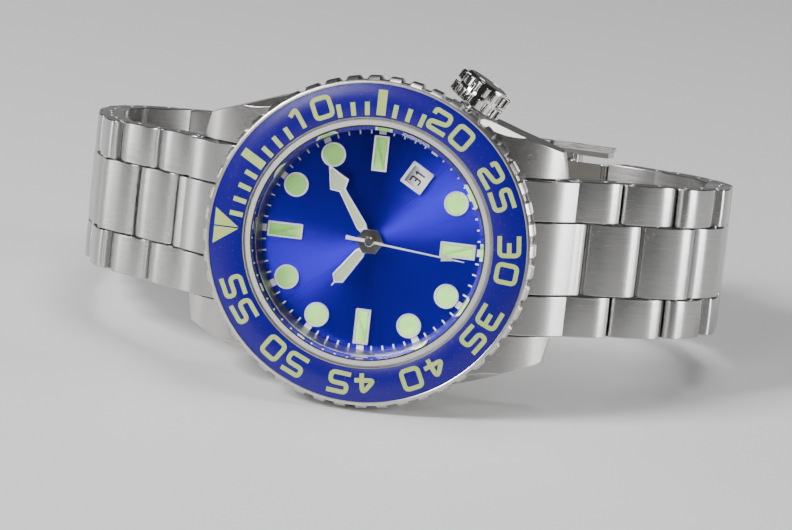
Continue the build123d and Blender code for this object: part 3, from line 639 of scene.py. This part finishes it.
def add_bezel_insert():
    """The blue insert: a flat ring sloping outwards, with softened edges."""
    mesh = Mesh()
    mesh.lathe([(INSERT_IN_R, INSERT_BED), (INSERT_IN_R, INSERT_TOP_IN - 0.06),
                (INSERT_IN_R + 0.02, INSERT_TOP_IN - 0.02), (INSERT_IN_R + 0.06, INSERT_TOP_IN - 0.003),
                (INSERT_OUT_R - 0.08, INSERT_TOP_OUT + 0.004), (INSERT_OUT_R - 0.02, INSERT_TOP_OUT - 0.02),
                (INSERT_OUT_R, INSERT_TOP_OUT - 0.08), (INSERT_OUT_R, INSERT_BED)], TURN_STEPS)
    insert = add_piece("bezel_insert_ring", mesh, HEAD, "bezel", BEZEL_BLUE, ["bezel_insert"])
    smooth(insert, 35)


def add_crystal():
    """Flat crystal with a polished chamfer."""
    mesh = Mesh()
    mesh.lathe([(0.0, CRYSTAL_LOW), (CRYSTAL_R, CRYSTAL_LOW), (CRYSTAL_R, CRYSTAL_TOP - 0.35),
                (CRYSTAL_R - 0.4, CRYSTAL_TOP), (0.0, CRYSTAL_TOP)], TURN_STEPS, closed=False)
    smooth(add_piece("crystal_glass", mesh, HEAD, "case", CRYSTAL, ["crystal"]), 20)


NUMERAL_R, NUMERAL_W, NUMERAL_H, NUMERAL_HALF, NUMERAL_CORNER = 19.52, 3.0, 3.25, 0.31, 0.62
NUMERAL_SPREAD = 5.45                                  # degrees from the middle of a pair to each numeral
SHORT_BAR, SHORT_BAR_R, SHORT_BARS = (0.65, 1.83), 18.48, (1, 2, 3, 4, 6, 7, 8, 12, 13, 14, 16, 17, 18)
LONG_BAR, LONG_BAR_R, LONG_BARS = (1.25, 3.5), 19.4, (5, 15)
TRIANGLE_R, TRIANGLE_HALF, TRIANGLE_TIP, TRIANGLE_BASE, TRIANGLE_SLIT = 19.5, 2.5, -1.6, 1.78, 0.10


def add_bezel_scale():
    """Luminous triangle, minute bars and numerals of the insert."""
    mesh = Mesh()
    for minute in range(10, 60, 5):
        if minute in LONG_BARS:
            continue
        for digit, spread in zip(str(minute), (NUMERAL_SPREAD, -NUMERAL_SPREAD)):
            numeral(mesh, digit, NUMERAL_W, NUMERAL_H, NUMERAL_HALF, PRINT_LOW, PRINT_H,
                    insert_place(NUMERAL_R, clock_angle(minute) + spread), NUMERAL_CORNER)
    for bar, radius, minutes in ((SHORT_BAR, SHORT_BAR_R, SHORT_BARS), (LONG_BAR, LONG_BAR_R, LONG_BARS)):
        for minute in minutes:
            mesh.prism(rectangle(*bar), PRINT_LOW, PRINT_H, insert_place(radius, clock_angle(minute)))
    zero = insert_place(TRIANGLE_R, clock_angle(0))
    for side in (-1, 1):
        corners = [(TRIANGLE_SLIT * side, TRIANGLE_TIP), (TRIANGLE_HALF * side, TRIANGLE_BASE),
                   (TRIANGLE_SLIT * side, TRIANGLE_BASE)]
        mesh.prism(corners[::side], PRINT_LOW, PRINT_H, zero)
    add_piece("bezel_scale", mesh, HEAD, "bezel", LUME_BEZEL, ["bezel_lume"])


# ---- dial -------------------------------------------------------------------------------------------------
MARKER_H, FILL_EDGE_H, FILL_TOP_H = 0.35, 0.24, 0.31   # a marker's rim, and its fill's edge and crown
BATON_R, BATON_LEN, BATON_WID = 12.06, 4.9, 2.1
DOT_R, DOT_DIA = 12.9, 3.4
FRAME_W, FILL_SLOPE_W = 0.25, 0.22
DATE_R, DATE_FRAME, DATE_FRAME_W, DATE_ANGLE, DATE_Z = 10.77, 3.4, 0.43, -30.0, -0.5
DATE_DAYS, DATE_DIGIT_STEP = 31, 1.0
DATE_DIGIT_W, DATE_DIGIT_H, DATE_DIGIT_HALF, DATE_DIGIT_CORNER = 0.84, 1.6, 0.13, 0.16
TRACK_R, TRACK_TICK, TRACK_BLOCK = 15.0, (0.55, 0.2), (0.6, 1.0)
INK_LOW, TRACK_H, DATE_INK_H = -0.01, 0.015, 0.012     # ink starts just inside its bed
BATON_HOURS = (12, 3, 6, 9)
DOT_HOURS = (1, 2, 5, 7, 8, 10, 11)


def on_dial(radius, angle, height=0.0):
    """A frame on the dial: +X outwards."""
    return Matrix.Translation((*polar(radius, angle), height)) @ Matrix.Rotation(radians(angle), 4, "Z")


def add_markers():
    """Applied hour markers: bevelled metal rims round slightly domed luminous fills."""
    rims, fills = Mesh(), Mesh()
    spots = [(rounded(rectangle(BATON_LEN, BATON_WID), 0.12, True), on_dial(BATON_R, clock_angle(5 * h)))
             for h in BATON_HOURS]
    spots += [(circle(DOT_DIA / 2), on_dial(DOT_R, clock_angle(5 * h))) for h in DOT_HOURS]
    for outline, place in spots:
        band(rims, outline, FRAME_W, 0.0, MARKER_H, place)
        edge = inset(outline, FRAME_W)
        crown_edge = inset(outline, FRAME_W + FILL_SLOPE_W)
        fills.prism(edge, 0.0, FILL_EDGE_H, place)
        fills.frustum(edge, crown_edge, FILL_EDGE_H, FILL_TOP_H, place)
    window = rounded(rectangle(DATE_FRAME, DATE_FRAME), 0.1, True)
    band(rims, window, DATE_FRAME_W, 0.0, MARKER_H, on_dial(DATE_R, DATE_ANGLE))
    rim_piece = add_piece("marker_rims", rims, HEAD, "case", WHITE_METAL_PAINTED_SHEEN,
                          ["hour_markers"])
    bevel(rim_piece, 0.05, 2)
    add_piece("marker_lume_fills", fills, HEAD, "case", LUME_DIAL, ["hour_marker_lume"])


def add_minute_track():
    """Printed minute track: ticks, and broad blocks at the hours."""
    track = Mesh()
    for minute in range(60):
        mark = rectangle(*(TRACK_TICK if minute % 5 else TRACK_BLOCK))
        track.prism(mark, INK_LOW, TRACK_H, on_dial(TRACK_R, clock_angle(minute)))
    add_piece("minute_track", track, HEAD, "case", WHITE_INK)


def add_date_numerals():
    """Thirty-one printed numerals; each reads outwards where it passes the window."""
    digits = Mesh()
    for day in range(1, DATE_DAYS + 1):
        angle = DATE_ANGLE + (day - DATE_DAYS) * 360 / DATE_DAYS
        text = str(day)
        for k, digit in enumerate(text):
            shift = (k - (len(text) - 1) / 2) * DATE_DIGIT_STEP
            place = on_dial(DATE_R + shift, angle, DATE_Z)
            numeral(digits, digit, DATE_DIGIT_W, DATE_DIGIT_H, DATE_DIGIT_HALF, INK_LOW, DATE_INK_H, place,
                    DATE_DIGIT_CORNER)
    add_piece("date_numerals", digits, HEAD, "date", DARK_INK)


# ---- hands ------------------------------------------------------------------------------------------------
HOUR_ANGLE, MINUTE_ANGLE, SECOND_ANGLE = -304.9, -55.8, -185.3
HOUR_Z, MINUTE_Z, SECOND_Z = 1.3, 1.85, 2.4
BOSS_R, HOUR_PIPE_R, MINUTE_PIPE_R = 1.9, 1.08, 0.77
HAND_RIM_OUT, HAND_RIM_W = 0.16, 0.20                  # the rim's reach outside the fill, and its width


def hand_place(angle, height):
    """A frame for a hand that points along its own +Y."""
    return HEAD @ Matrix.Rotation(radians(angle), 4, "Z") @ Matrix.Translation((0, 0, height * MM))


def add_luminous_hand(name, body, place, half, boss_r, pipe_r, lume_half, node):
    """A hand with a boss, a metal outline and a luminous fill between the outline's rims."""
    metal, fill, boss = Mesh(), Mesh(), Mesh()
    metal.prism(both_sides(half), 0.0, 0.10)
    lume_outline = both_sides(lume_half)
    band(metal, inset(lume_outline, -HAND_RIM_OUT), HAND_RIM_W, 0.09, 0.20)
    fill.frustum(lume_outline, inset(lume_outline, 0.05), 0.09, 0.15)
    six = [Vector(polar(boss_r, 30 + 60 * k)) for k in range(6)]
    boss.strip(six, circle(pipe_r, 6), 0.0, 0.17)
    blade = add_piece(f"{name}_blade", metal, place, body, WHITE_METAL_PAINTED_SHEEN, [node])
    bevel(blade, 0.03, 2)
    add_piece(f"{name}_lume", fill, place, body, LUME_HANDS)
    centre = add_piece(f"{name}_boss", boss, place, body, POLISHED_BRIGHT)
    bevel(centre, 0.05, 2)


def add_seconds_hand():
    """A needle with a short tail, a luminous arrow and a turned hub."""
    needle, lume_tip, hub = Mesh(), Mesh(), Mesh()
    needle.prism(both_sides([(0.3, -3.3), (0.14, 0.0), (0.10, 10.2), (0.10, 12.1), (0.05, 13.4)]), 0.0, 0.12)
    lume_tip.prism(both_sides([(0.5, 10.2), (0.08, 12.0)]), -0.02, 0.16)
    hub.lathe([(0.0, 0.30), (0.28, 0.30), (0.30, 0.34), (0.55, 0.34), (0.65, 0.26), (0.65, 0.0), (0.0, 0.0)],
              48, closed=False)
    place = hand_place(SECOND_ANGLE, SECOND_Z)
    shaft = add_piece("seconds_needle", needle, place, "seconds", WHITE_METAL_PAINTED_SHEEN,
                      ["seconds_hand"])
    bevel(shaft, 0.03, 2)
    add_piece("seconds_lume_arrow", lume_tip, place, "seconds", LUME_HANDS)
    smooth(add_piece("seconds_hub", hub, place, "seconds", POLISHED_BRIGHT), 30)


def add_hands():
    """Each outline is the right half of the hand, from its tail to its tip."""
    add_luminous_hand("minute", "minutes", hand_place(MINUTE_ANGLE, MINUTE_Z),
                      [(0.35, 1.2), (0.75, 2.3), (0.47, 7.95), (1.5, 8.85), (0.09, 11.8), (0.06, 13.2)],
                      BOSS_R, MINUTE_PIPE_R,
                      [(0.36, 2.0), (0.58, 2.5), (0.31, 8.0), (1.25, 8.85), (0.12, 11.3)], "minute_hand")
    add_luminous_hand("hour", "hours", hand_place(HOUR_ANGLE, HOUR_Z),
                      [(0.35, 1.2), (0.75, 2.3), (0.95, 6.9), (0.1, 7.6), (0.07, 8.2)],
                      BOSS_R, HOUR_PIPE_R,
                      [(0.35, 2.0), (0.57, 2.5), (0.75, 6.75), (0.12, 7.35)], "hour_hand")
    add_seconds_hand()


# ---- crown ------------------------------------------------------------------------------------------------
CROWN_IN, CROWN_OUT, CROWN_R, CROWN_TEETH = 23.1, 26.9, 4.0, 16
CROWN_ROOT_R, CROWN_NECK_R, TOOTH_TOP_DEG, TOOTH_ROOT_DEG = 3.15, 1.75, 4.9, 5.6


def add_crown():
    """Crown with two rims of chunky teeth, a groove and a raised end disc, on its own axis (+Z outwards)."""
    axis = Vector(JOINTS["crown_turn"]["axis"]).normalized()
    place = rigid(Vector(JOINTS["crown_turn"]["pos_m"]), OUT, axis.cross(OUT), axis)
    low, end = CROWN_IN, CROWN_OUT
    core, teeth = Mesh(), Mesh()
    core.lathe([(CROWN_NECK_R, low + 1.2), (CROWN_NECK_R, low), (3.1, low), (3.2, low + 0.1),
                (3.2, end - 0.35), (3.12, end - 0.2), (3.02, end - 0.18), (2.98, end - 0.06), (2.9, end),
                (2.55, end), (2.5, end - 0.05), (2.4, end - 0.05), (2.35, end), (0.0, end),
                (0.0, low + 1.2)], 96, closed=False)
    for start, stop in ((low + 0.1, low + 1.55), (low + 2.0, end - 0.35)):
        for k in range(CROWN_TEETH):
            middle = 360 / CROWN_TEETH * (k + 0.5)
            outline = [polar(CROWN_ROOT_R, middle - TOOTH_ROOT_DEG), polar(CROWN_R, middle - TOOTH_TOP_DEG),
                       polar(CROWN_R, middle), polar(CROWN_R, middle + TOOTH_TOP_DEG),
                       polar(CROWN_ROOT_R, middle + TOOTH_ROOT_DEG)]
            teeth.prism(outline, start, stop)
    body = add_piece("crown_body", core, place, "crown_and_stem", POLISHED, ["crown"])
    smooth(body, 30)
    rims = add_piece("crown_teeth", teeth, place, "crown_and_stem", POLISHED)
    bevel(rims, 0.12, 2, 40)


# ---- bracelet ---------------------------------------------------------------------------------------------
PITCH, LINK_T = 8.8, 3.8
CENTRE_HALF, ROW_GAP = 5.02, 0.17
KNUCKLE_R, RECESS_R, CLASP_RECESS_R = 2.03, 2.42, 3.4
PIN_R, PIN_END_R, PIN_PROUD = 0.6, 0.45, 0.03
LINK_DOME, DOME_POWER = 0.8, 3.2                       # fall of a link's back at its ends, and its curve
LUG_HALF, LINK_TAPER, LINK_HALF_MIN = 10.9, 0.13, 10.0
CLASP_REACH = 7.0                                      # from the blade's far hinge to the clasp's spring bar
TWELVE_LINKS, SIX_LINKS = 10, 7
ARC_STEPS, BACK_STEPS, ROW_SECTIONS, END_SECTIONS = 12, 16, 7, 9
BACK_FROM = 0.8                                        # points higher than this lie on a link's back


def arc_points(radius, start, turn, steps=ARC_STEPS):
    """Points along a circle arc from an angle through a turn, in degrees."""
    return [polar(radius, start + turn * k / steps) for k in range(steps + 1)]


def row_outline(knuckle_at, recess_at, recess_r=RECESS_R):
    """Side outline of one row piece: domed back, round about its own pin, hollow about its neighbour's."""
    facing = 1 if recess_at > knuckle_at else -1
    end_top, bottom = LINK_T / 2 - LINK_DOME, -LINK_T / 2
    knuckle_x = -sqrt(KNUCKLE_R ** 2 - end_top ** 2)
    recess_x = -sqrt(recess_r ** 2 - end_top ** 2)
    start = degrees(atan2(end_top, knuckle_x))
    turn = 360 + degrees(atan2(bottom, -sqrt(KNUCKLE_R ** 2 - bottom ** 2))) - start
    points = [(knuckle_at + facing * x, y) for x, y in arc_points(KNUCKLE_R, start, turn)]
    start = degrees(atan2(bottom, -sqrt(recess_r ** 2 - bottom ** 2)))
    turn = degrees(atan2(end_top, recess_x)) - 360 - start
    points += [(recess_at + facing * x, y) for x, y in arc_points(recess_r, start, turn, ARC_STEPS - 2)]
    first, last = recess_at + facing * recess_x, knuckle_at + facing * knuckle_x
    for k in range(1, BACK_STEPS):
        along = k / BACK_STEPS
        height = LINK_T / 2 - LINK_DOME * abs(2 * along - 1) ** DOME_POWER
        points.append((first + (last - first) * along, height))
    return points if facing > 0 else list(reversed(points))


def add_row_piece(mesh, outline, x0, x1, crown=0.10):
    """A row piece across the bracelet with a faintly domed back; outline is (along, outwards)."""
    rings = []
    for k in range(ROW_SECTIONS):
        t = k / (ROW_SECTIONS - 1)
        across = x0 + (x1 - x0) * t
        fall = crown * (2 * t - 1) ** 2 * (1 if abs(x0 + x1) < 1 else 0.5)
        rings.append([(s, n - fall if n > BACK_FROM else n, across) for s, n in outline])
    mesh.loft(rings)


def add_link(side, index, place, half, at_clasp):
    """Two outer pieces about the link's own pin, a centre piece about the next one, and two pins."""
    tag = f"link_{12 if side > 0 else 6}_{index}"
    rows, pins = Mesh(), Mesh()
    inner = CENTRE_HALF + ROW_GAP
    outer = row_outline(0, PITCH, CLASP_RECESS_R if at_clasp else RECESS_R)
    add_row_piece(rows, outer, inner, half)
    add_row_piece(rows, outer, -half, -inner)
    add_row_piece(rows, row_outline(PITCH, 0), -CENTRE_HALF, CENTRE_HALF, 0.06)
    for along in (0, PITCH / 2):
        end = half + PIN_PROUD
        pins.lathe([(0.0, end), (PIN_END_R, end), (PIN_R, end - 0.12), (PIN_R, 0.12 - end), (PIN_END_R, -end),
                    (0.0, -end)], 24, Matrix.Translation((along, 0, 0)), closed=False)
    body = add_piece(f"{tag}_rows", rows, place, tag, STEEL_LONG, [tag])
    bevel(body, 0.28, 3, 38)
    smooth(add_piece(f"{tag}_pins", pins, place, tag, POLISHED), 30)


def bracelet_ends():
    """Pin centres in order for each side, with the clasp's spring bar last on the 12 o'clock side."""
    start = Vector(JOINTS["clasp_to_link"]["pos_m"])
    far = Vector(JOINTS["blade_fold"]["pos_m"])
    spring_bar = far + (far - start).normalized() * CLASP_REACH * MM
    twelve = [Vector(JOINTS[f"link_12_{i + 1}_turn"]["pos_m"]) for i in range(TWELVE_LINKS)]
    six = [Vector(JOINTS[f"link_6_{i + 1}_turn"]["pos_m"]) for i in range(SIX_LINKS)]
    return twelve + [spring_bar], six + [start]


# the end links' side outline in (to 12, outwards): pin, first link's slope, the back's arc, the underside
END_PIN, END_SLOPE, END_ARC = (26.9, -7.2), 33.0, ((20.0, 0.75), (24.6, -1.9))
END_UNDER, END_CASE_LOW = ((25.4, -8.72), (24.0, -8.5)), -7.9
END_CASE_R, END_HALF, END_GROOVE = 22.46, 10.78, 0.16


def arc_through(a, b, c, steps):
    """Points on the circle arc from a through b to c."""
    double = 2 * (a[0] * (b[1] - c[1]) + b[0] * (c[1] - a[1]) + c[0] * (a[1] - b[1]))
    square = [p[0] ** 2 + p[1] ** 2 for p in (a, b, c)]
    x = (square[0] * (b[1] - c[1]) + square[1] * (c[1] - a[1]) + square[2] * (a[1] - b[1])) / double
    y = (square[0] * (c[0] - b[0]) + square[1] * (a[0] - c[0]) + square[2] * (b[0] - a[0])) / double
    radius = sqrt((a[0] - x) ** 2 + (a[1] - y) ** 2)
    start, end = atan2(a[1] - y, a[0] - x), atan2(c[1] - y, c[0] - x)
    angles = [start + (end - start) * k / steps for k in range(steps + 1)]
    return [(x + radius * cos(angle), y + radius * sin(angle)) for angle in angles]


def end_link_ring(across, centre_row):
    """One section of an end link's row at a distance from the middle, from the case to the pin and back."""
    pin_y, pin_z = END_PIN
    slope = radians(END_SLOPE)
    top = (pin_y + sin(slope) * LINK_T / 2, pin_z + cos(slope) * LINK_T / 2)
    case_y = sqrt(END_CASE_R ** 2 - across ** 2)
    back = arc_through(*END_ARC, top, 60)
    reach = KNUCKLE_R if centre_row else RECESS_R
    back = [p for p in back if sqrt((p[0] - pin_y) ** 2 + (p[1] - pin_z) ** 2) > reach]
    end = back[-1]
    levels = []
    for k in range(BACK_STEPS + 1):
        y = case_y + (end[0] - case_y) * k / BACK_STEPS
        after = next(i for i, p in enumerate(back) if p[0] >= y - 1e-9)
        before = max(after - 1, 0)
        span = back[after][0] - back[before][0]
        share = (y - back[before][0]) / span if span else 0.0
        levels.append((y, back[before][1] + (back[after][1] - back[before][1]) * share))
    first = degrees(atan2(end[1] - pin_z, end[0] - pin_y))
    last = degrees(atan2(END_UNDER[0][1] - pin_z, END_UNDER[0][0] - pin_y))
    turn = (last - first) % 360 - 360 if centre_row else (last - first) % 360
    round_end = [(pin_y + y, pin_z + z) for y, z in arc_points(reach, first, turn)[1:]]
    under = [END_UNDER[1], (case_y, END_CASE_LOW)]
    return [(across, y, z) for y, z in levels + round_end + under]


def add_end_links():
    """Solid end links: a centre row and two outer rows with fine grooves between them."""
    for side, node in ((1, "end_link_12"), (-1, "end_link_6")):
        rows = Mesh()
        inner = CENTRE_HALF + END_GROOVE
        for x0, x1, centre_row in ((-CENTRE_HALF, CENTRE_HALF, True), (inner, END_HALF, False),
                                   (-END_HALF, -inner, False)):
            steps = END_SECTIONS - 1
            rings = [end_link_ring(x0 + (x1 - x0) * k / steps, centre_row) for k in range(END_SECTIONS)]
            rows.loft([[(x * side, y * side, z) for x, y, z in ring] for ring in rings])
        piece = add_piece(f"{node}_rows", rows, HEAD, "case", STEEL_LUG, [node])
        bevel(piece, 0.2, 3, 38)


def add_bracelet():
    """Every link on its own pin, narrowing a little towards the clasp."""
    for side, pin_places in zip((1, -1), bracelet_ends()):
        for k in range(len(pin_places) - 1):
            along = (pin_places[k + 1] - pin_places[k]).normalized()
            across = THREE * side
            place = rigid(pin_places[k], along, across.cross(along), across)
            half = max(LINK_HALF_MIN, LUG_HALF - LINK_TAPER * k)
            add_link(side, k + 1, place, half, side > 0 and k == len(pin_places) - 2)


in_head_frame("dial", DIAL_BLUE, "case")
in_head_frame("rehaut_ring", DARK_POLISHED, "case")
add_case()
add_end_links()
add_bezel_ring()
add_bezel_insert()
add_crystal()
add_bezel_scale()
add_markers()
add_minute_track()
add_date_numerals()
add_hands()
add_crown()
add_bracelet()


# ---- stage: floor, light, camera -------------------------------------------------------------------------
def add_floor():
    """A plain pale floor at height 0."""
    half = 1.2
    corners = [(-half, -half, 0), (half, -half, 0), (half, half, 0), (-half, half, 0)]
    mesh = bpy.data.meshes.new("floor")
    mesh.from_pydata(corners, [], [(0, 1, 2, 3)])
    mesh.materials.append(floor_paint())
    floor = bpy.data.objects.new("floor", mesh)
    bpy.context.scene.collection.objects.link(floor)


def add_area_light(name, place, size, power):
    """A softbox that faces the dial."""
    lamp = bpy.data.lights.new(name, "AREA")
    lamp.shape = "RECTANGLE"
    lamp.size, lamp.size_y = size
    lamp.energy = power
    light = bpy.data.objects.new(name, lamp)
    light.location = place
    light.rotation_euler = (DIAL_CENTRE - place).to_track_quat("-Z", "Y").to_euler()
    bpy.context.scene.collection.objects.link(light)


def from_head(right, up, out):
    """A place seen from the dial: towards the picture's right, upwards and out of the dial, in metres."""
    return HEAD @ Vector((up, -right, out))


WORLD_COLOUR, WORLD_STRENGTH = (0.80, 0.82, 0.85, 1), 0.035
SOFTBOXES = (                                          # name, place as from_head takes it, size, watts
    ("key_softbox", (-0.50, 0.42, 0.40), (0.20, 0.20), 8.0),
    ("front_fill", (-0.24, 0.22, 0.75), (0.20, 0.20), 1.6),
    ("top_softbox", (0.10, 0.65, 0.05), (0.5, 0.16), 2.0),
    ("right_softbox", (0.62, 0.12, -0.02), (0.24, 0.30), 3.2),
    ("left_softbox", (-0.62, 0.10, -0.10), (0.12, 0.30), 0.9),
)


def add_lights():
    """A dim world and five softboxes."""
    world = bpy.data.worlds.new("studio")
    bpy.context.scene.world = world
    world.use_nodes = True
    world.node_tree.nodes["Background"].inputs["Color"].default_value = WORLD_COLOUR
    world.node_tree.nodes["Background"].inputs["Strength"].default_value = WORLD_STRENGTH
    for name, place, size, power in SOFTBOXES:
        add_area_light(name, from_head(*place), size, power)


# the camera from the dial's centre in metres, and its directions: to 3, to 12 and out of the dial
CAMERA_PLACE = (0.0575, -0.0605, 0.5074)
CAMERA_FORWARD, CAMERA_UP = (-0.11786, 0.11052, -0.98686), (0.98718, 0.12079, -0.10437)
CAMERA_SENSOR, CAMERA_LENS = 36.0, 169.3


def add_camera():
    """Camera with a long lens, a little to the 6 o'clock side of the dial and above its axis."""
    data = bpy.data.cameras.new("camera")
    data.sensor_width = CAMERA_SENSOR
    data.lens = CAMERA_LENS
    data.clip_start = 0.01
    camera = bpy.data.objects.new("camera", data)
    bpy.context.scene.collection.objects.link(camera)
    back = -(HEAD.to_3x3() @ Vector(CAMERA_FORWARD)).normalized()
    right = (HEAD.to_3x3() @ Vector(CAMERA_UP)).cross(back).normalized()
    camera.matrix_world = rigid(HEAD @ Vector(CAMERA_PLACE), right, back.cross(right), back)
    bpy.context.scene.camera = camera


add_floor()
add_lights()
add_camera()
